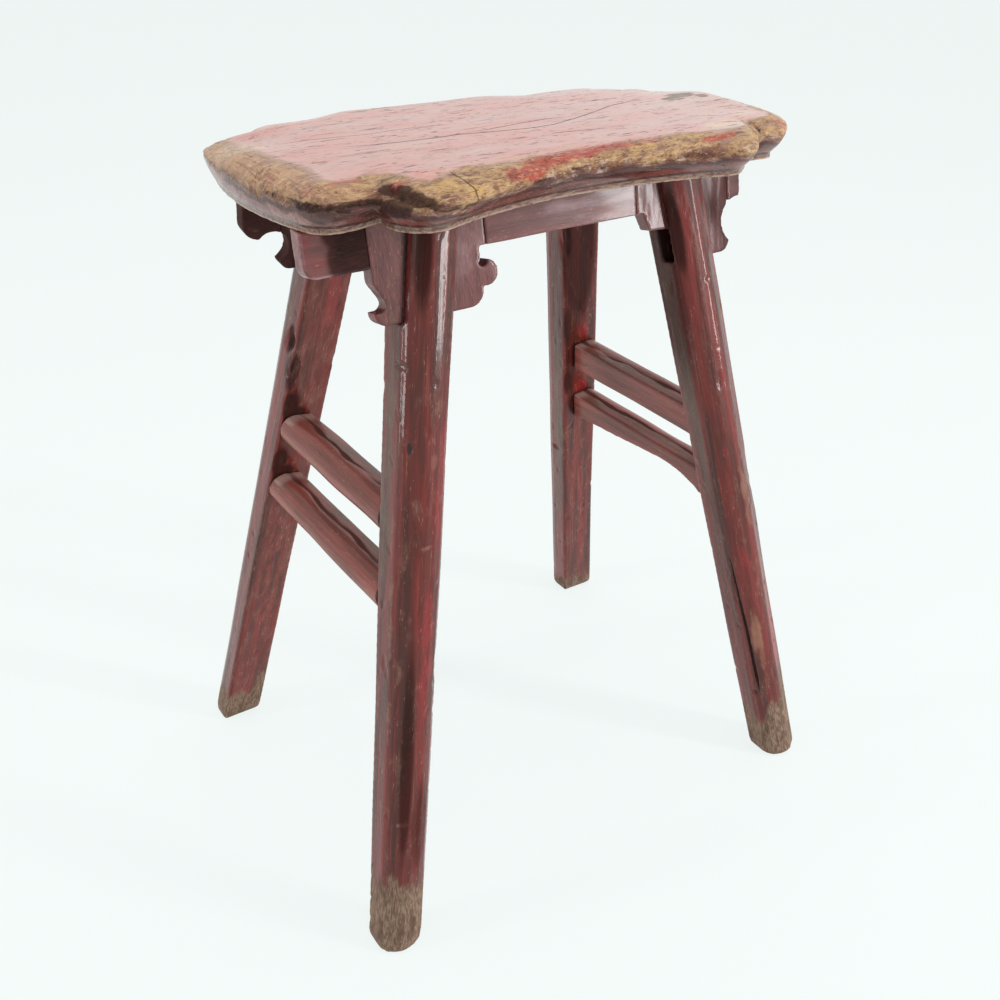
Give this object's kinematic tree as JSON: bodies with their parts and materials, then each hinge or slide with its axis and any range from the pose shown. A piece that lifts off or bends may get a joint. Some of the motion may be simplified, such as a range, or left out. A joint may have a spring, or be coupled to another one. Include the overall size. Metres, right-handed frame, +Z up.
{
  "type": "stool",
  "caption": "Rigid joined wooden stool: a lobed plank seat with a moulded edge on splayed slotted legs, fretted boards below its long sides and paired stretchers at its short sides.",
  "frame": {"origin": "centre of the stool's footprint on the floor", "axes": "+X along the seat to its right end, -Y to the front long side, +Z up"},
  "size_m": [0.3948, 0.3206, 0.505],
  "materials": {
    "seat": "old red lacquer, worn through to ochre wood round the top edge",
    "legs": "deep red lacquer, glossy, worn to bare grey wood at the feet",
    "boards": "dark red-brown lacquer, partly worn",
    "stretchers": "red-brown lacquer, worn to ochre wood outside, dusty on top"
  },
  "bodies": {
    "root": {"seat": "seat", "leg_front_left": "legs", "leg_front_right": "legs", "leg_back_left": "legs", "leg_back_right": "legs", "spandrel_front_left": "boards", "spandrel_front_right": "boards", "spandrel_back_left": "boards", "spandrel_back_right": "boards", "apron_front": "boards", "apron_back": "boards", "tab_front_left": "boards", "tab_front_right": "boards", "tab_back_left": "boards", "tab_back_right": "boards", "stretcher_left_upper": "stretchers", "stretcher_left_lower": "stretchers", "stretcher_right_upper": "stretchers", "stretcher_right_lower": "stretchers"}
  },
  "joints": []
}
